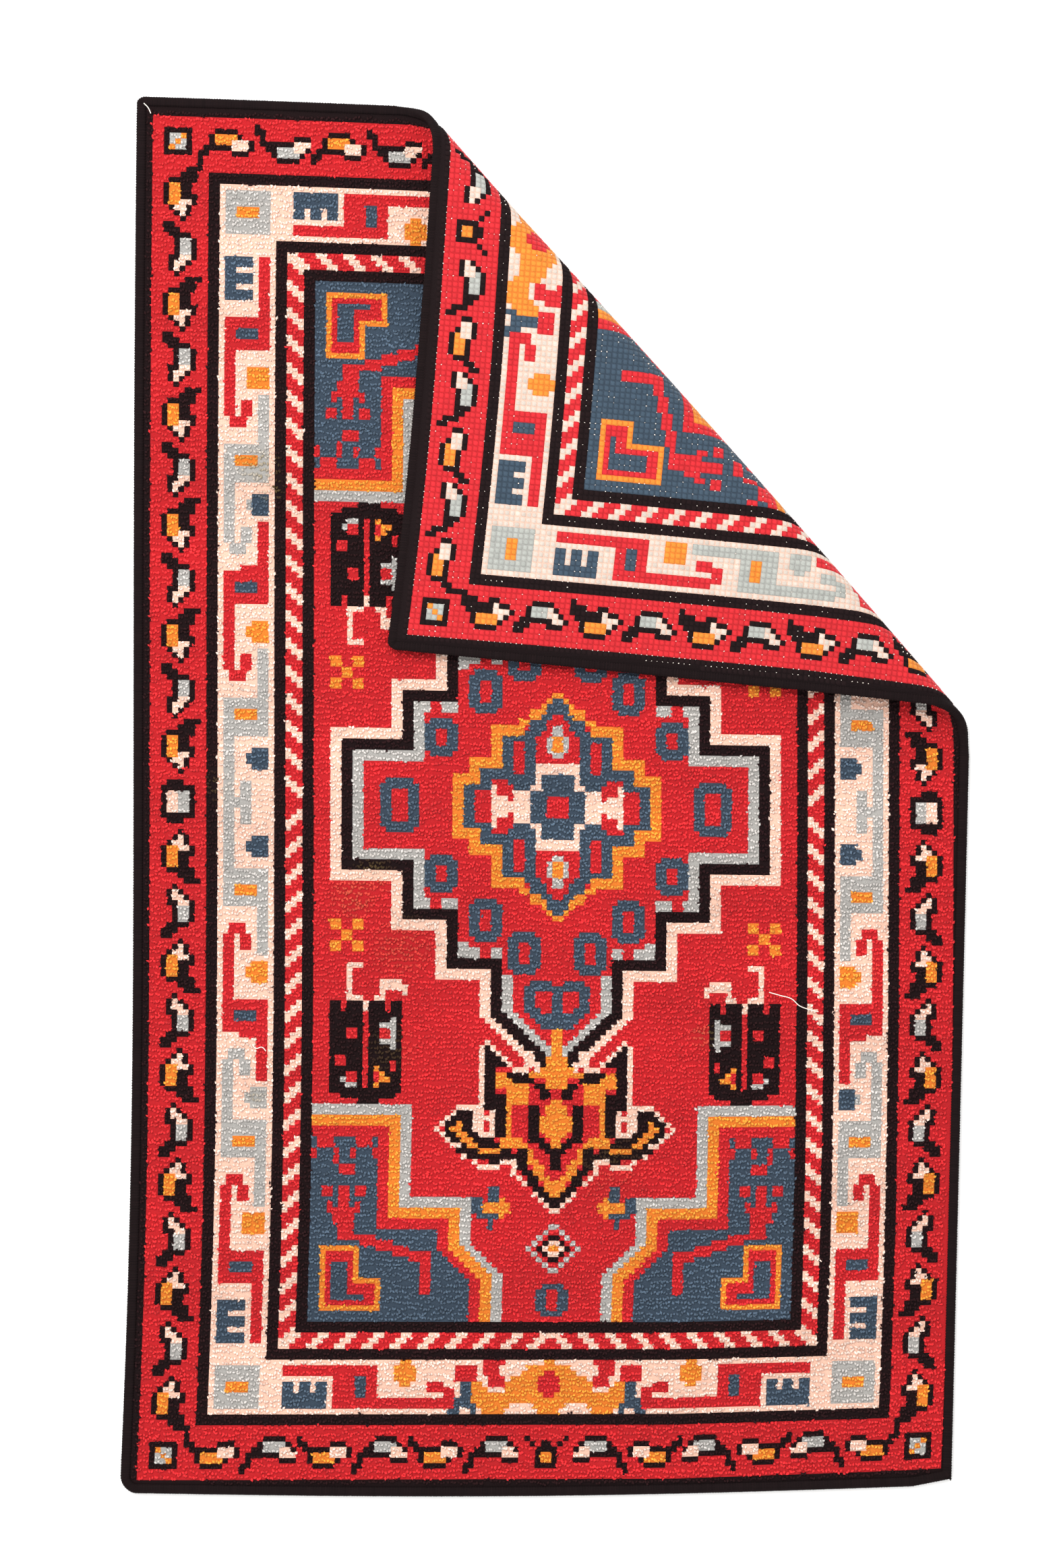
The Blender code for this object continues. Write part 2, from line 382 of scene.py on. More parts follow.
def paintPendant():
    # The hanging flower at each end of the medallion, from its stem to its tip
    bars(
        "c 4.2 5.8 45.5 48.5/"
        "k 11.5 13 44 46/k 10.5 13 46 47.3/k 8.5 13 47.3 48.5/k 11 13 48.5 56.5/"
        "k 4.2 9 49 51/k 9.2 11 53 61/k 15 18 56 57/k 15 19.8 57 58/k 15 20 58 60/"
        "k 14 20 60 61/k 11 19 61 62/k 8 18 62 64/k 7 16 64 65/k 7 12 65 66/"
        "k 5 7 63 67/k 4.2 6 67 68.5/k 3.2 5 68.5 70/k 2 4 70 71.3/k 0 3 71.3 73/k 0 1.7 73 74"
    )
    bars(
        "r 3 6 51 55/r 5 8.2 55 60.5/r 4.8 7.7 60 61/r 3.5 6.3 61 62/r 2 4.6 62 64/"
        "r 1 3.8 64 66/r 0 2.8 66 67.5/r 0 2 67 69/"
        "o 4 5.2 63 65/o 2.7 5 65 66.5/o 2 4.3 66.5 68/o 1 3.5 68 69.5/o 0 2.5 69.5 71/"
        "o 0 1 71 72/o 5.3 9 51 55/o 8 9.2 55 61/o 6.2 10.2 61 62/o 5 10.5 62 63/"
        "o 10.2 14 63 64.2/o 9 11 49 52/o 8 9 50.5 52/o 17 18 58 59/o 17 19 59 60/"
        "o 16.2 18.2 60 61/o 15 17 61 62/o 14.3 15.8 62 63"
    )
    bars(
        "o 0 1.3 41 46/o 0 2 46 48/o 0 3 48 49/o 0 4.8 49 50/o 0 1.8 50 52/r 0 1.9 52 54/"
        "r 2 4 50 51.2/k 1.9 4.2 51 52.5/k 1.2 2.8 52.5 54.5/k 2.9 5 55 61/k 2.5 4.8 61 62/"
        "k 1.2 3.5 62 63.5/k 0 2.5 63 64/k 0 1.5 64 66/k 0 0.9 66 67/o 0 1.5 54 55.5/"
        "o 0 2.2 55.5 57/o 0 2.8 57 60.5/o 0 2.2 60.5 61.5/o 0 1 61.5 63"
    )
    bars(
        "c 12 13 43 44/c 13 14 44 56/c 11 12 44 45/c 10.2 11.3 45 46/c 8.8 10.2 46 47/"
        "c 8 8.8 47 48/c 5.2 8 48.3 49.2/c 12.7 17.7 55 56/c 18 19 56 57/c 19 20 57 58/"
        "c 20 21 58 59/c 21 22.3 59 60/c 20 21 60 61/c 19 20 61 62/c 17.5 19 62 63.5/"
        "c 15.7 17 64 65/c 14 15.5 65 66/c 10 14 66 67/c 7 9.7 65 66/c 6.8 7.7 66 68/"
        "c 5.7 6.7 68 69/c 5 5.8 69 70/c 3.7 4.5 70 71/c 3 3.7 71 72/c 2 2.7 72 73/"
        "c 1 2 73 74/c 0 0.6 74 75/c 13 15 55 60.5/c 11 12 56 60.5/c 11 14 60 61/"
        "c 11.3 13.5 57 58/r 12 13 58 60"
    )


for paint in (paintBands, paintGuard, paintBorder, paintCorners, paintField, paintMedallion,
              paintStar, paintPendant):
    paint()
print("design charted")

# The whole design, from the far left quarter to the near right one
half = np.concatenate([quarter[:, ::-1], quarter], axis=1)
design = np.concatenate([half[::-1], half], axis=0)
lastColumn = knots["columns"] + knots["spare"]
lastRow = knots["rows"] + knots["spare"]
rowOf, columnOf = np.indices(design.shape)
knotColumn = (columnOf - lastColumn + 0.5).ravel()
knotRow = (rowOf - lastRow + 0.5).ravel()
knotYarn = design.ravel()
knotX, knotY = knotPlace(knotColumn, knotRow)
knotRun = knotX * foldNormal[0] + knotY * foldNormal[1] - foldStart
knotRim = rimDistance(knotX, knotY)

# One border figure is slate in two of the four quarters: its middle and its reach in knots
slateFigure = {"column": 53.5, "row": 54, "columnReach": 1.6, "rowReach": 2}
inFigure = np.abs(np.abs(knotColumn) - slateFigure["column"]) < slateFigure["columnReach"]
inFigure &= np.abs(np.abs(knotRow) - slateFigure["row"]) < slateFigure["rowReach"]
knotYarn[inFigure & (knotColumn * knotRow > 0)] = yarnOf["s"]

# Knots pressed face to face under the folded corner: a knot of the flap, or one that it covers
pressed = {
    "levelRun": 0.5,  # a run after which the flap lies level
    "clearOfRoll": 0.02,
    "insideFlap": 0.03,
}
bendGain = (bend(np.array([pressed["levelRun"]]))[0] + pressed["levelRun"])[0]
meetStep = bendGain - 2 * knotRun
meetRim = rimDistance(knotX + foldNormal[0] * meetStep, knotY + foldNormal[1] * meetStep)
covered = (knotRun < -pressed["clearOfRoll"]) & (meetRim > pressed["insideFlap"])
knotHidden = (knotRun > rollLength) | covered


def deselectAll():
    for thing in bpy.context.selected_objects:
        thing.select_set(False)


def takeMesh(piece):
    # Reads a modelled form as points and four-sided faces, and removes it
    points = np.array([point.co for point in piece.data.vertices])
    faces = np.array([list(face.vertices) for face in piece.data.polygons])
    bpy.data.objects.remove(piece, do_unlink=True)
    return points, faces


def meshPiece(name, points, faces, materials, faceMaterials=None, **pointValues):
    mesh = bpy.data.meshes.new(name)
    mesh.vertices.add(len(points))
    mesh.vertices.foreach_set("co", points.astype(np.float32).ravel())
    mesh.loops.add(faces.size)
    mesh.loops.foreach_set("vertex_index", faces.astype(np.int32).ravel())
    mesh.polygons.add(len(faces))
    mesh.polygons.foreach_set("loop_start", np.arange(len(faces), dtype=np.int32) * 4)
    mesh.polygons.foreach_set("use_smooth", np.ones(len(faces), bool))
    for material in materials:
        mesh.materials.append(material)
    if faceMaterials is not None:
        mesh.polygons.foreach_set("material_index", faceMaterials.astype(np.int32))
    for valueName, values in pointValues.items():
        layer = mesh.attributes.new(valueName, "FLOAT", "POINT")
        layer.data.foreach_set("value", values.astype(np.float32))
    mesh.update(calc_edges=True)
    piece = bpy.data.objects.new(name, mesh)
    bpy.context.scene.collection.objects.link(piece)
    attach(piece, "root")
    return piece


def scatter(form, places, turns, scales):
    # Copies a small form to every place, turned about the upright and scaled
    points, faces = form
    shaped = points[None] * scales[:, None, :]
    cosine, sine = np.cos(turns)[:, None], np.sin(turns)[:, None]
    turned = np.stack(
        [
            shaped[..., 0] * cosine - shaped[..., 1] * sine,
            shaped[..., 0] * sine + shaped[..., 1] * cosine,
            shaped[..., 2],
        ],
        axis=-1,
    )
    allPoints = (turned + places[:, None, :]).reshape(-1, 3)
    starts = np.arange(len(places))[:, None, None] * len(points)
    return allPoints, (faces[None] + starts).reshape(-1, 4)


# Colours of the wool yarn: the dye of the lit tip of the pile, a painted crevice shade for the pile
# between the tufts, and the dye of the tighter back
dyeAndShadeColours = {
    "red": ("#FF2C31", "#900A12", "#BA1F26"),
    "black": ("#301618", "#120A0B", "#190E0F"),
    "cream": ("#F4E8DE", "#CC9E88", "#B8ADA2"),
    "orange": ("#FFB83A", "#BA5A18", "#C47A28"),
    "slate": ("#5C7084", "#212C38", "#334351"),
    "sky": ("#E0D8D2", "#84827E", "#989A94"),
}


def linear(hexColour):
    # sRGB hex to the linear values that shaders take
    channels = [int(hexColour[place : place + 2], 16) / 255 for place in (1, 3, 5)]
    bent = [c / 12.92 if c <= 0.04045 else ((c + 0.055) / 1.055) ** 2.4 for c in channels]
    return (*bent, 1)


def addNode(tree, kind, inputs=None, **settings):
    node = tree.nodes.new(kind)
    for setting, value in settings.items():
        setattr(node, setting, value)
    for socket, value in (inputs or {}).items():
        if isinstance(value, bpy.types.NodeSocket):
            tree.links.new(value, node.inputs[socket])
        else:
            node.inputs[socket].default_value = value
    return node


def newMaterial(name):
    material = bpy.data.materials.new(name)
    material.use_nodes = True
    material.node_tree.nodes.clear()
    return material, material.node_tree


def inMillimetres(tree):
    place = addNode(tree, "ShaderNodeTexCoord").outputs["Object"]
    scaled = addNode(tree, "ShaderNodeMapping", {"Vector": place, "Scale": (1000, 1000, 1000)})
    return scaled.outputs["Vector"]


def noise(tree, place, size, detail, roughness=0.5):
    inputs = {"Vector": place, "Scale": 1 / size, "Detail": detail, "Roughness": roughness}
    return addNode(tree, "ShaderNodeTexNoise", inputs).outputs["Fac"]


def pointValue(tree, name):
    return addNode(tree, "ShaderNodeAttribute", attribute_name=name).outputs["Fac"]


def mixed(tree, share, first, second):
    inputs = {"Factor": share, "A": first, "B": second}
    return addNode(tree, "ShaderNodeMix", inputs, data_type="RGBA").outputs["Result"]


def spread(tree, value, low, high):
    # Most of a noise lies between 0.3 and 0.7, and is spread from low to high
    inputs = {"Value": value, "From Min": 0.3, "From Max": 0.7, "To Min": low, "To Max": high}
    return addNode(tree, "ShaderNodeMapRange", inputs).outputs["Result"]


def reckon(tree, operation, first, second):
    inputs = {0: first, 1: second}
    return addNode(tree, "ShaderNodeMath", inputs, operation=operation).outputs["Value"]


def shaded(tree, colour, value):
    return addNode(tree, "ShaderNodeHueSaturation", {"Color": colour, "Value": value}).outputs["Color"]


def bumped(tree, height, depth, strength=1.0):
    inputs = {"Height": height, "Distance": depth, "Strength": strength}
    return addNode(tree, "ShaderNodeBump", inputs).outputs["Normal"]


def giveSurface(tree, inputs):
    surface = addNode(tree, "ShaderNodeBsdfPrincipled", inputs)
    addNode(tree, "ShaderNodeOutputMaterial", {"Surface": surface.outputs["BSDF"]})


pileWool = {
    "strandPitch": 0.9,  # mm between plies of the cut yarn
    "strandLean": math.radians(35),
    "strandStretch": 0.35,
    "fuzzSize": 0.7,  # mm
    "fuzzRange": (0.70, 1.32),
    "patchSize": 60,  # mm, slow changes between dye lots
    "patchStretch": 0.3,
    "patchRange": (0.90, 1.08),
    "bumpDepth": 0.00045,
    "soilColour": "#7C6A3E",
    "roughness": 0.92,
}


def cutPileMaterial(yarn):
    # Cut wool pile, hand spun and plied: dull and soft, with shade painted darker down between the
    # tufts, with fine plies and dye that changes a little from lot to lot
    tip, creviceShade, _ = dyeAndShadeColours[yarn]
    material, tree = newMaterial(f"cut_wool_pile_{yarn}")
    mm = inMillimetres(tree)
    alongRows = addNode(tree, "ShaderNodeMapping",
                        {"Vector": mm, "Scale": (pileWool["patchStretch"], 1, 1)})
    patches = noise(tree, alongRows.outputs["Vector"], pileWool["patchSize"], 3)
    fuzz = noise(tree, mm, pileWool["fuzzSize"], 4, 0.7)
    leaning = addNode(tree, "ShaderNodeMapping",
                      {"Vector": mm, "Rotation": (0, 0, pileWool["strandLean"]),
                       "Scale": (pileWool["strandStretch"], 1, 1)})
    strands = noise(tree, leaning.outputs["Vector"], pileWool["strandPitch"], 2)
    # painted shade: the colour runs from the crevice shade at a tuft's foot up to the lit dye at its
    # tip
    lit = mixed(tree, pointValue(tree, "tuftHeight"), linear(creviceShade), linear(tip))
    lot = spread(tree, patches, *pileWool["patchRange"])
    hair = spread(tree, fuzz, *pileWool["fuzzRange"])
    value = reckon(tree, "MULTIPLY", lot, hair)
    value = reckon(tree, "MULTIPLY", value, pointValue(tree, "tuftShade"))
    dyed = shaded(tree, lit, value)
    worn = mixed(tree, pointValue(tree, "tuftSoil"), dyed, linear(pileWool["soilColour"]))
    giveSurface(tree, {
        "Base Color": worn,
        "Roughness": pileWool["roughness"],
        "Specular IOR Level": 0.08 if yarn == "black" else 0.2,
        "Sheen Weight": 0.02 if yarn == "black" else 0.15,
        "Sheen Roughness": 0.5,
        "Normal": bumped(tree, reckon(tree, "ADD", strands, fuzz), pileWool["bumpDepth"]),
    })
    return material


backWool = {
    "plyPitch": 1.1,  # mm
    "wavesPerPitch": 0.31,  # the wave texture's own scale for one band a millimetre
    "fuzzSize": 0.8,  # mm
    "fuzzRange": (0.88, 1.1),
    "bumpDepth": 0.0003,
    "roughness": 0.88,
}


def backMaterial(yarn):
    # The back of the knots: the same wool pulled tight, so its plies lie flat and show less fuzz
    _, creviceShade, face = dyeAndShadeColours[yarn]
    material, tree = newMaterial(f"knotted_wool_back_{yarn}")
    mm = inMillimetres(tree)
    fuzz = noise(tree, mm, backWool["fuzzSize"], 3)
    plies = addNode(
        tree,
        "ShaderNodeTexWave",
        {"Vector": mm, "Scale": backWool["wavesPerPitch"] / backWool["plyPitch"],
         "Distortion": 2.5, "Detail": 2},
        bands_direction="Y",
    )
    # painted shade: the back's colour mixes from the crevice shade up to its dye by the lit share,
    # darker at knot edges and in grooves
    lit = mixed(tree, pointValue(tree, "tuftHeight"), linear(creviceShade), linear(face))
    hair = spread(tree, fuzz, *backWool["fuzzRange"])
    value = reckon(tree, "MULTIPLY", hair, pointValue(tree, "tuftShade"))
    giveSurface(tree, {
        "Base Color": shaded(tree, lit, value),
        "Roughness": backWool["roughness"],
        "Specular IOR Level": 0.10 if yarn == "black" else 0.25,
        "Sheen Weight": 0.0 if yarn == "black" else 0.12,
        "Sheen Roughness": 0.5,
        "Normal": bumped(tree, plies.outputs["Fac"], backWool["bumpDepth"], 0.6),
    })
    return material


pileMaterials = [cutPileMaterial(yarn) for yarn in yarns]
backMaterials = [backMaterial(yarn) for yarn in yarns]
print("wool materials made")

ground = {
    "backHeight": 0.0007,  # the back of the ground weave, inside its row of knots
    "faceHeight": 0.0050,
    "rimInset": 0.0060,  # its edge runs this far inside the cloth's edge, under the whipping
    # share of the lit dye against the painted crevice shade, which darkens the face between the tufts
    # and the back between the knots
    "faceShare": 0.10,
    "backShare": 0.45,
}


def makeGround():
    # The woven ground: a closed sheet with one cell for each knot
    columns = np.arange(-knots["columns"] - 1, knots["columns"] + 2)
    rows = np.arange(-knots["rows"] - 1, knots["rows"] + 2)
    column, row = np.meshgrid(columns, rows)
    x, y = knotPlace(np.clip(column, -knots["columns"], knots["columns"]).astype(float),
                     np.clip(row, -knots["rows"], knots["rows"]).astype(float))
    inset = ground["rimInset"]
    y = np.where(row == rows[0], farY(x) - inset, np.where(row == rows[-1], nearY(x) + inset, y))
    x = np.where(column == columns[0], leftX(y) + inset, x)
    x = np.where(column == columns[-1], rightX(y) - inset, x)
    flat = np.stack([x.ravel(), y.ravel()], axis=1)
    count = len(flat)
    face = np.column_stack([flat, np.full(count, ground["faceHeight"])])
    back = np.column_stack([flat, np.full(count, ground["backHeight"])])
    index = np.arange(count).reshape(column.shape)
    corners = [index[1:, :-1], index[1:, 1:], index[:-1, 1:], index[:-1, :-1]]
    faceQuads = np.stack(corners, axis=-1).reshape(-1, 4)
    backQuads = faceQuads[:, ::-1] + count
    rim = np.concatenate([index[0, ::-1], index[1:, 0], index[-1, 1:], index[-2:0:-1, -1]])
    nextRim = np.roll(rim, -1)
    wall = np.stack([rim, nextRim, nextRim + count, rim + count], axis=1)[:, ::-1]
    spare = knots["spare"] - 1
    cells = design[spare:-spare, spare:-spare].reshape(-1)
    black = np.full(len(wall), yarnOf["k"])
    faceMaterials = np.concatenate([cells, cells + len(yarns), black])
    points = folded(np.concatenate([face, back]))
    # painted shade on the ground's face and back, from these shares
    share = np.repeat([ground["faceShare"], ground["backShare"]], count)
    return meshPiece(
        "rug_ground",
        points,
        np.concatenate([faceQuads, backQuads, wall]),
        pileMaterials + backMaterials,
        faceMaterials,
        tuftHeight=share,
        tuftShade=np.ones(2 * count),
    )


groundPiece = makeGround()
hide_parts("rug_cloth")
print("ground woven")

tuft = {
    "width": 0.0036,  # across one lobe of a knot, at its foot
    "length": 0.0062,
    "height": 0.0044,
    "topShare": 0.50,  # width of the top against the foot
    "spread": 0.00120,  # each lobe stands this far from the middle of its knot
    "slant": math.radians(42),
    "sunk": 0.0006,  # its foot stands this far below the face of the ground
    # how unevenly the tufts stand
    "wander": 0.00070,
    "spreadRange": (0.5, 1.5),
    "rowShift": 0.00060,  # every other row stands this far to one side
    "rowWave": 0.00080,
    "waves": ((0.0065, 2.1), (0.0142, 1.3)),  # length of each wave, and its step from row to row
    "rowLean": 0.25,
    "turnSpread": 0.30,
    "sizeSpread": 0.13,
    "sizeRange": (0.7, 1.3),
    "tall": 0.93,
    "tallSpread": 0.09,
    "tallRange": (0.68, 1.03),
    "rimClear": 0.0110,  # tufts start this far inside the cloth's edge
}


def modelTuft():
    # One lobe of cut yarn, a soft four-sided lump with no foot
    deselectAll()
    bpy.ops.mesh.primitive_cone_add(vertices=4, radius1=0.5, radius2=0.5 * tuft["topShare"],
                                    depth=1, location=(0, 0, 0.5), rotation=(0, 0, 0))
    lobe = bpy.context.object
    bpy.ops.object.mode_set(mode="EDIT")
    bpy.ops.mesh.select_mode(type="FACE")
    bpy.ops.mesh.select_all(action="DESELECT")
    bpy.ops.object.mode_set(mode="OBJECT")
    for face in lobe.data.polygons:
        face.select = face.normal.z < -0.9
    bpy.ops.object.mode_set(mode="EDIT")
    bpy.ops.mesh.delete(type="FACE")
    bpy.ops.object.mode_set(mode="OBJECT")
    for point in lobe.data.vertices:
        point.co.x *= tuft["width"]
        point.co.y *= tuft["length"]
        point.co.z *= tuft["height"]
    return takeMesh(lobe)


tuftForm = modelTuft()

# Soiled spots: column, row, reach in knots and strength
soiledSpots = (
    (-37, 17, 3.5, 0.35), (-28, 26, 5, 0.18), (-33, 13, 3, 0.30), (-54, -61, 3, 0.75),
    (-54, 54, 1.6, 0.55), (-52, -57, 2, 0.45), (27, 42, 2, 0.35), (-60, -3, 2.5, 0.2),
    (57, 30, 3, 0.15), (-30, 45, 4, 0.12), (10, 66, 6, 0.10),
)


tone = {
    "swing": 0.03,  # how far the slow waves of shade go
    # how fast they change from knot to knot
    "byRow": 0.21,
    "waver": 0.03,
    "driftByColumn": 0.11,
    "driftByRow": 0.05,
    "knotSpread": 0.075,
    "knotRange": (0.75, 1.25),
    "lobeSpread": 0.09,
    "soilFade": 1.4,  # a soiled spot ends at this share of its reach
    "soilRange": (0.6, 1.0),
}


def knotTone():
    # Each knot's own shade, from dye lots along the rows and the way that it was cut
    waver = 2 * np.sin(knotColumn * tone["waver"])
    byRow = 1 + tone["swing"] * np.sin(knotRow * tone["byRow"] + waver)
    drifting = knotColumn * tone["driftByColumn"] + knotRow * tone["driftByRow"]
    drift = 1 + tone["swing"] * np.sin(drifting)
    own = randomDraw.normal(1, tone["knotSpread"], len(knotRow)).clip(*tone["knotRange"])
    return byRow * drift * own


def knotSoil():
    soil = np.zeros(len(knotRow))
    for column, row, reach, strength in soiledSpots:
        distance = np.hypot(knotColumn - column, knotRow - row) / reach
        soil = np.maximum(soil, strength * np.clip(tone["soilFade"] - distance, 0, 1))
    return soil * randomDraw.uniform(*tone["soilRange"], len(soil))


knotShade, knotDirt = knotTone(), knotSoil()


def plantPile(name, yarn, chosen):
    # Two lobes to each knot, leaning apart like the ends of the yarn, and one where they are hidden
    chosen = np.flatnonzero(chosen)
    perKnot = np.where(knotHidden[chosen], 1, 2)
    x, y, row = knotX[chosen], knotY[chosen], knotRow[chosen]
    knotCount = len(x)
    evenRow = np.where(np.floor(row) % 2 == 0, 1.0, -1.0)
    x = x + tuft["rowShift"] / 2 * evenRow + randomDraw.normal(0, tuft["wander"], knotCount)
    wave = sum(np.sin(x / length + step * row) for length, step in tuft["waves"])
    y = y + tuft["rowWave"] / 2 * wave + randomDraw.normal(0, tuft["wander"], knotCount)
    lobes = perKnot.sum()
    firstLobe = np.cumsum(perKnot) - perKnot
    side = np.ones(lobes)
    side[firstLobe] = -1
    apart = side * tuft["spread"] * randomDraw.uniform(*tuft["spreadRange"], lobes)
    wandered = randomDraw.normal(0, tuft["wander"], lobes)
    foot = np.full(lobes, ground["faceHeight"] - tuft["sunk"])
    places = np.column_stack([np.repeat(x, perKnot) + apart, np.repeat(y, perKnot) + wandered, foot])
    # in every other row the lobes lean more to one side
    turns = -side * tuft["slant"] + tuft["rowLean"] * np.repeat(evenRow, perKnot)
    turns = turns + randomDraw.normal(0, tuft["turnSpread"], lobes)
    scales = randomDraw.normal(1, tuft["sizeSpread"], (lobes, 3)).clip(*tuft["sizeRange"])
    scales[:, 2] = randomDraw.normal(tuft["tall"], tuft["tallSpread"], lobes).clip(*tuft["tallRange"])
    points, faces = scatter(tuftForm, places, turns, scales)
    perLobe = len(tuftForm[0])
    # painted shade: each point's height up the lobe is its share of lit dye, darker towards the foot
    height = np.tile(tuftForm[0][:, 2] / tuft["height"], lobes) * np.repeat(scales[:, 2], perLobe)
    shade = np.repeat(knotShade[chosen], perKnot) * randomDraw.normal(1, tone["lobeSpread"], lobes)
    piece = meshPiece(name, folded(points), faces, [pileMaterials[yarnOf[yarn]]],
                      tuftHeight=height, tuftShade=np.repeat(shade, perLobe),
                      tuftSoil=np.repeat(knotDirt[chosen], perKnot * perLobe))
    return piece


inPile = knotRim > tuft["rimClear"]
inField = (np.abs(knotColumn) < knots["fieldColumns"]) & (np.abs(knotRow) < knots["fieldRows"])
pileParts = {
    "pile_red_near_field": ("r", inField & (knotRow > 0)),
    "pile_red_far_field": ("r", inField & (knotRow <= 0)),
    "pile_red_borders": ("r", ~inField),
    "pile_black": ("k", inPile),
    "pile_cream": ("c", inPile),
    "pile_orange": ("o", inPile),
    "pile_slate": ("s", inPile),
    "pile_sky": ("g", inPile),
}
pilePieces = [
    plantPile(name, yarn, inPile & where & (knotYarn == yarnOf[yarn]))
    for name, (yarn, where) in pileParts.items()
]
print("pile planted:", [(piece.name, 2 * len(piece.data.polygons)) for piece in pilePieces])

backKnot = {
    "width": 0.0050,
    "height": 0.0009,
    "firstRun": 0.010,  # knots are modelled on the back from here on, where the cloth turns up
    "crownSpread": 1.55,  # the raised middle is this much wider than a third of the knot
    "overlap": 1.02,
    "lift": 0.0001,
    "sizeSpread": 0.05,
    "sizeRange": (0.88, 1.12),
    "turnSpread": 0.06,
    "edgeShare": 0.25,  # share of the lit dye at its edge, the rest painted shade where the cushion meets the ground
    "shadeSpread": 0.05,
    "shadeRange": (0.85, 1.15),
}


def modelBackKnot():
    # One knot seen from behind, a soft square cushion of yarn
    deselectAll()
    bpy.ops.mesh.primitive_grid_add(x_subdivisions=3, y_subdivisions=3, size=backKnot["width"])
    cushion = bpy.context.object
    inner = backKnot["width"] / 3
    for point in cushion.data.vertices:
        raised = max(abs(point.co.x), abs(point.co.y)) < inner
        widened = backKnot["crownSpread"] if raised else backKnot["overlap"]
        point.co.x *= widened
        point.co.y *= widened
        point.co.z = backKnot["height"] if raised else 0
    return takeMesh(cushion)


backForm = modelBackKnot()


def makeBackKnots():
    chosen = (knotRim > tuft["rimClear"]) & (knotRun > backKnot["firstRun"])
    x, y, yarn = knotX[chosen], knotY[chosen], knotYarn[chosen]
    count = len(x)
    places = np.column_stack([x, y, np.full(count, -ground["backHeight"] - backKnot["lift"])])
    scales = randomDraw.normal(1, backKnot["sizeSpread"], (count, 3)).clip(*backKnot["sizeRange"])
    turns = randomDraw.normal(0, backKnot["turnSpread"], count)
    points, faces = scatter(backForm, places, turns, scales)
    points[:, 2] *= -1  # the back faces down in the flat cloth
    faces = faces[:, ::-1]
    # painted shade at the cushion's edge, lit dye on its raised middle
    height = np.tile(np.where(backForm[0][:, 2] > 0, 1.0, backKnot["edgeShare"]), count)
    shade = randomDraw.normal(1, backKnot["shadeSpread"], count).clip(*backKnot["shadeRange"])
    shade = np.repeat(shade, len(backForm[0]))
    piece = meshPiece("back_knots", folded(points), faces, backMaterials,
                      np.repeat(yarn, len(backForm[1])), tuftHeight=height, tuftShade=shade)
    return piece


backPiece = makeBackKnots()
print("back knotted:", 2 * len(backPiece.data.polygons))

canvas = {
    "colours": ("#D8CBBE", "#EFE6DC"),
    "twistSize": 1 / 1500,  # metres
    # one bare point
    "width": 0.0011,
    "length": 0.00165,
    "height": 0.0012,
    "sunk": 0.0004,
    "sizeRange": (0.45, 1.15),
    "rollShare": 0.35,  # points show from this share of the roll's length on
    "rimMargin": 0.0005,
    "edgeChance": 0.75,
    # how often the canvas shows at a corner between knots of each yarn
    "chance": {"red": 0.22, "black": 0.34, "cream": 0.0, "orange": 0.03, "slate": 0.34, "sky": 0.06},
}


def canvasMaterial():
    # Undyed cotton canvas, flat woven and stiff: dull off white threads between the knots
    material, tree = newMaterial("undyed_cotton_canvas")
    place = addNode(tree, "ShaderNodeTexCoord").outputs["Object"]
    twist = noise(tree, place, canvas["twistSize"], 2)
    dark, light = canvas["colours"]
    giveSurface(tree, {
        "Base Color": mixed(tree, twist, linear(dark), linear(light)),
        "Roughness": 0.85,
        "Specular IOR Level": 0.3,
        "Normal": bumped(tree, twist, 0.0002),
    })
    return material


cotton = canvasMaterial()


def makeCanvasSpecks():
    # Bare canvas shows as small bright points at the corners between knots
    chance = np.array([canvas["chance"][yarn] for yarn in yarns])[knotYarn]
    edgeRow = (np.abs(knotColumn) > knots["columns"]) | (np.abs(knotRow) > knots["rows"])
    chance = np.where(edgeRow, canvas["edgeChance"], chance)
    seen = knotRun > rollLength * canvas["rollShare"]
    seen &= knotRim > tuft["rimClear"] - canvas["rimMargin"]
    seen &= randomDraw.uniform(0, 1, len(chance)) < chance
    x, y = knotPlace(knotColumn[seen] - 0.5, knotRow[seen] + 0.5)
    count = len(x)
    places = np.column_stack([x, y, np.full(count, -ground["backHeight"] + canvas["sunk"])])
    # the tuft's form in the size of a bare point
    form = tuftForm[0] / [tuft["width"], tuft["length"], tuft["height"]]
    form = form * [canvas["width"], canvas["length"], canvas["height"]]
    scales = randomDraw.uniform(*canvas["sizeRange"], (count, 3))
    turns = randomDraw.uniform(-1, 1, count)
    points, faces = scatter((form, tuftForm[1]), places, turns, scales)
    points[:, 2] *= -1
    piece = meshPiece("canvas_specks", folded(points), faces[:, ::-1], [cotton])
    return piece


specksPiece = makeCanvasSpecks()
print("canvas specks:", len(specksPiece.data.polygons) // len(tuftForm[1]))

# Loose ends, each a list of places on the knot grid
looseEnds = {
    "loose_thread_right": (
        (38.9, 33.8), (41, 34.4), (43, 35.0), (44.5, 36.3), (46, 36.9), (48, 37.4),
    ),
    "loose_thread_left": ((-54.6, 44.2), (-54.0, 44.9), (-52.9, 44.7), (-52.2, 45.4)),
    "loose_thread_corner": ((-74.6, -126.0), (-73.8, -125.2), (-73.3, -124.2)),
}
threadSize = {"diameter": 0.0008, "height": 0.0094}  # height above the back of the cloth


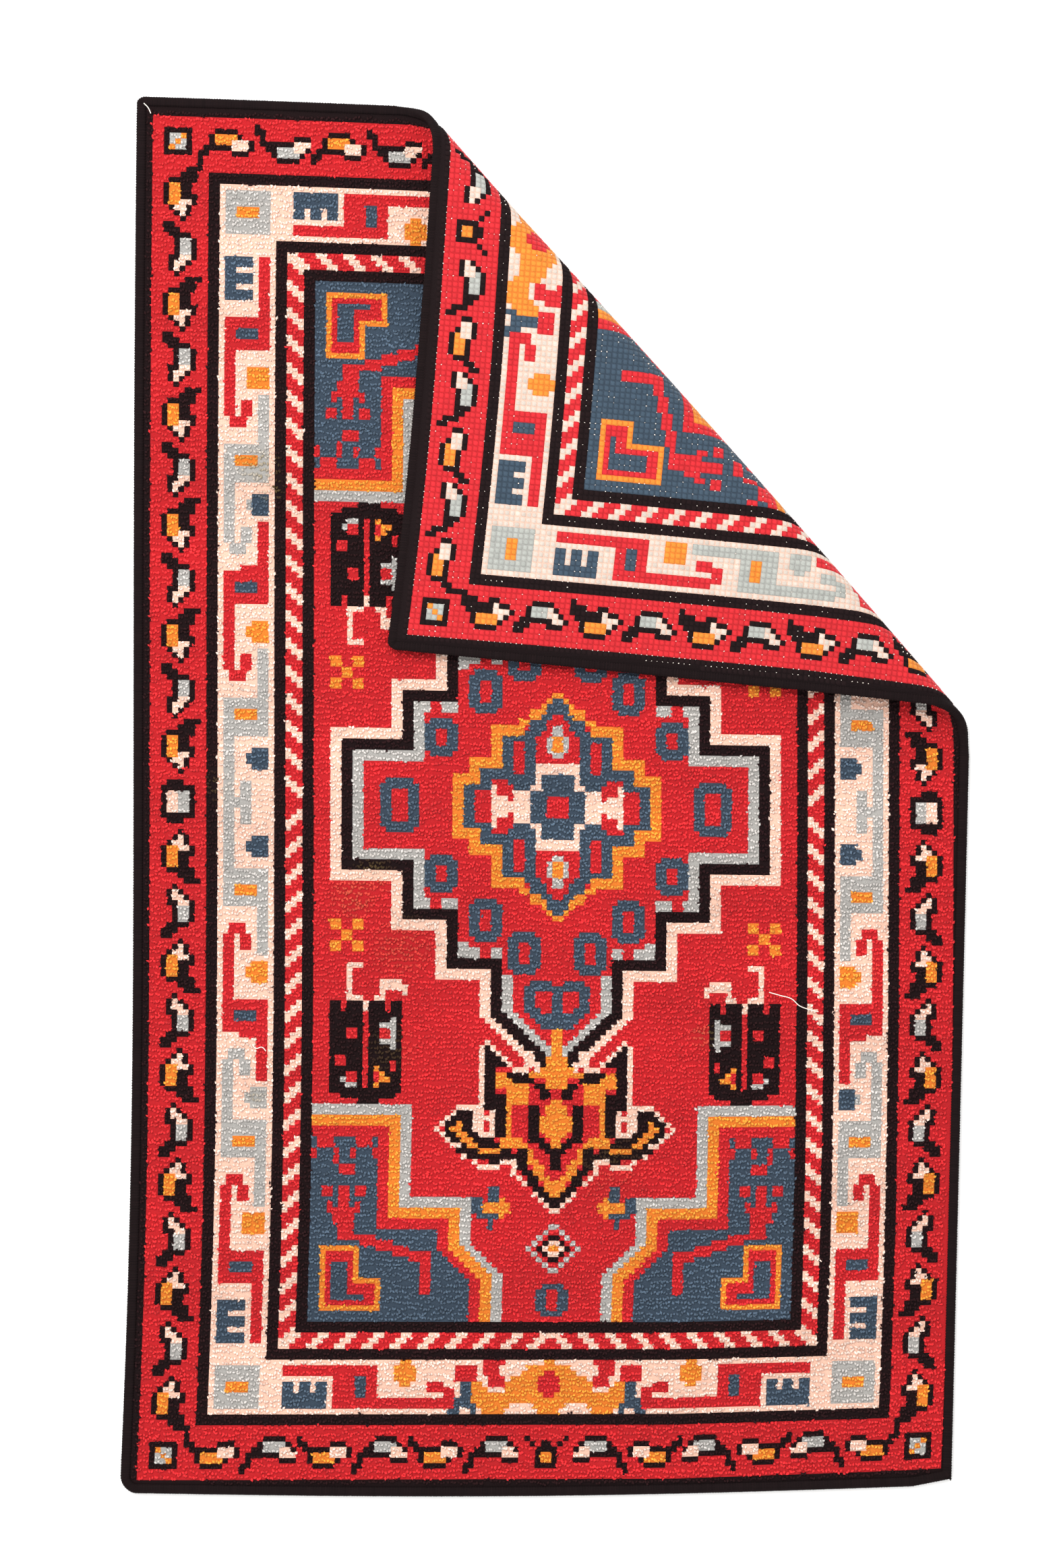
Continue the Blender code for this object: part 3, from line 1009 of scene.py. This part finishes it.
def makeLooseThread(name, stops):
    # A cream end of yarn that lies over the pile
    deselectAll()
    columns, rows = np.array(stops).T
    x, y = knotPlace(columns, rows)
    flat = np.column_stack([x, y, np.full(len(x), threadSize["height"])])
    curve = bpy.data.curves.new(name, "CURVE")
    curve.dimensions = "3D"
    curve.bevel_depth = threadSize["diameter"] / 2
    curve.bevel_resolution = 1
    curve.use_fill_caps = True
    spline = curve.splines.new("BEZIER")
    spline.bezier_points.add(len(flat) - 1)
    for point, spot in zip(spline.bezier_points, folded(flat)):
        point.co = spot
        point.handle_left_type = point.handle_right_type = "AUTO"
    held = bpy.data.objects.new(name, curve)
    bpy.context.scene.collection.objects.link(held)
    held.select_set(True)
    bpy.context.view_layer.objects.active = held
    bpy.ops.object.convert(target="MESH")
    piece = bpy.context.object
    piece.data.materials.append(cotton)
    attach(piece, "root")
    return piece


threadPieces = [makeLooseThread(name, stops) for name, stops in looseEnds.items()]
print("loose ends laid:", len(threadPieces))

whipping = {
    "width": 0.0095,
    "thickness": 0.0076,
    "wrapPitch": 0.0024,
    "wrapRise": 0.00055,
    "uneven": 0.00006,
    "shade": 0.80,  # against the black of the knots
    "shadeSpread": 0.10,
    "grooveShare": 0.3,  # share of the lit dye between two turns of the yarn, the rest painted groove shade
    "sides": 10,
    "squareness": 0.6,  # of its rounded oblong section, where 1 is an ellipse
    "edgeSteps": 400,  # steps along each edge of the rug
    "cornerSteps": 14,
    "cornerPull": 1.17,  # how strongly a corner's curve is drawn to its tip
}


def rimPath():
    # The cloth's rim as a closed path of even steps, with its inward direction
    share = np.linspace(0, 1, whipping["edgeSteps"], endpoint=False)
    nearXs = between(cloth["nearLeft"][0], cloth["nearRight"][0], share)
    farXs = between(cloth["farRight"][0], cloth["farLeft"][0], share)
    rightYs = between(cloth["nearRight"][1], cloth["farRight"][1], share)
    leftYs = between(cloth["farLeft"][1], cloth["nearLeft"][1], share)
    sides = [
        np.column_stack([nearXs, nearY(nearXs)]),
        np.column_stack([rightX(rightYs), rightYs]),
        np.column_stack([farXs, farY(farXs)]),
        np.column_stack([leftX(leftYs), leftYs]),
    ]
    path = []
    starts = ("nearLeft", "nearRight", "farRight", "farLeft")
    radii = [cloth["cornerRadii"][name] for name in starts]
    for number, side in enumerate(sides):
        following = sides[(number + 1) % 4]
        tip = following[0]
        radius = radii[(number + 1) % 4]
        kept = side[(np.linalg.norm(side - tip, axis=1) > radius)
                    & (np.linalg.norm(side - side[0], axis=1) > radii[number])]
        path.append(kept)
        start = kept[-1]
        end = following[np.linalg.norm(following - tip, axis=1) > radius][0]
        for turn in np.linspace(0, 1, whipping["cornerSteps"])[1:-1]:
            weight = (1 - turn) ** 2, whipping["cornerPull"] * turn * (1 - turn), turn**2
            point = (start * weight[0] + tip * weight[1] + end * weight[2]) / sum(weight)
            path.append(point[None])
    path = np.concatenate(path)
    lengths = np.linalg.norm(np.roll(path, -1, axis=0) - path, axis=1)
    walked = np.concatenate([[0], np.cumsum(lengths)])
    closedPath = np.concatenate([path, path[:1]])
    halfWraps = 2 * round(walked[-1] / whipping["wrapPitch"])
    even = np.linspace(0, walked[-1], halfWraps, endpoint=False)
    points = np.column_stack([np.interp(even, walked, closedPath[:, axis]) for axis in (0, 1)])
    # the direction at a point is taken from three steps behind it to three steps ahead
    forward = np.roll(points, -3, axis=0) - np.roll(points, 3, axis=0)
    forward /= np.linalg.norm(forward, axis=1)[:, None]
    return points, np.column_stack([-forward[:, 1], forward[:, 0]])


def makeWhipping():
    # Black yarn whipped over the rim, turn beside turn
    points, inward = rimPath()
    rings, sides = len(points), whipping["sides"]
    angles = np.arange(sides) / sides * 2 * np.pi
    across = np.sign(np.cos(angles)) * np.abs(np.cos(angles)) ** whipping["squareness"]
    upright = np.sign(np.sin(angles)) * np.abs(np.sin(angles)) ** whipping["squareness"]
    onTurn = np.arange(rings) % 2 == 0
    rise = np.where(onTurn, 0, -whipping["wrapRise"])
    rise = rise + randomDraw.normal(0, whipping["uneven"], rings)
    wide = whipping["width"] / 2 + rise[:, None]
    tall = whipping["thickness"] / 2 + rise[:, None]
    offset = whipping["width"] / 2 + across[None] * wide
    plan = points[:, None, :] + inward[:, None, :] * offset[..., None]
    height = whipping["thickness"] / 2 + upright[None] * tall
    flat = np.concatenate([plan, height[..., None]], axis=-1).reshape(-1, 3)
    index = np.arange(rings * sides).reshape(rings, sides)
    ahead = np.roll(index, -1, axis=0)
    quads = np.stack([index, np.roll(index, -1, axis=1), np.roll(ahead, -1, axis=1), ahead],
                     axis=-1).reshape(-1, 4)
    # painted shade in the grooves between turns
    share = np.repeat(np.where(onTurn, 1.0, whipping["grooveShare"]), sides)
    shade = randomDraw.normal(1, whipping["shadeSpread"], rings)
    shade = whipping["shade"] * np.repeat(shade, sides)
    piece = meshPiece("edge_whipping_yarn", folded(flat), quads,
                      [backMaterials[yarnOf["k"]]], tuftHeight=share, tuftShade=shade)
    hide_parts("edge_whipping")
    return piece


whippingPiece = makeWhipping()
print("rim whipped:", 2 * len(whippingPiece.data.polygons))

studio = {
    "floorColour": "#F4F3F2",
    "floorSize": 8,
    "floorDrop": 0.0002,  # the floor lies this far below the rug
    "worldStrength": 1.42,
    "keyPower": 92,
    "keySize": 1.6,
    "keyPlace": (-1.3, 1.5, 2.6),
    "frameHeight": 1.430,  # metres of the rug's plane that the picture shows
    "lookAt": (-0.0148, 0.0115),
    "cameraHeight": 3.2,
}


def makeStudio():
    deselectAll()
    bpy.ops.mesh.primitive_plane_add(size=studio["floorSize"],
                                     location=(0, 0, -studio["floorDrop"]))
    floor = bpy.context.object
    floor.name = "studio_floor"
    # Plain paper: pale, matt and without relief
    material, tree = newMaterial("matt_paper_floor")
    giveSurface(tree, {
        "Base Color": linear(studio["floorColour"]),
        "Roughness": 0.9,
        "Specular IOR Level": 0.1,
    })
    floor.data.materials.append(material)
    world = bpy.data.worlds.new("soft_room")
    world.use_nodes = True
    backdrop = world.node_tree.nodes["Background"]
    backdrop.inputs["Color"].default_value = (1, 1, 1, 1)
    backdrop.inputs["Strength"].default_value = studio["worldStrength"]
    bpy.context.scene.world = world
    key = bpy.data.lights.new("soft_key", "AREA")
    key.size = studio["keySize"]
    key.energy = studio["keyPower"]
    keyObject = bpy.data.objects.new("soft_key", key)
    keyObject.location = studio["keyPlace"]
    bpy.context.scene.collection.objects.link(keyObject)
    aim = -keyObject.location.copy()
    keyObject.rotation_euler = aim.to_track_quat("-Z", "Y").to_euler()
    camera = bpy.data.cameras.new("overhead_camera")
    camera.sensor_fit = "VERTICAL"
    camera.sensor_height = 24
    camera.lens = camera.sensor_height * studio["cameraHeight"] / studio["frameHeight"]
    cameraObject = bpy.data.objects.new("overhead_camera", camera)
    cameraObject.location = (*studio["lookAt"], studio["cameraHeight"])
    bpy.context.scene.collection.objects.link(cameraObject)
    bpy.context.scene.camera = cameraObject
    bpy.context.scene.view_settings.view_transform = "Standard"
    bpy.context.scene.view_settings.look = "None"


makeStudio()
print("studio set")
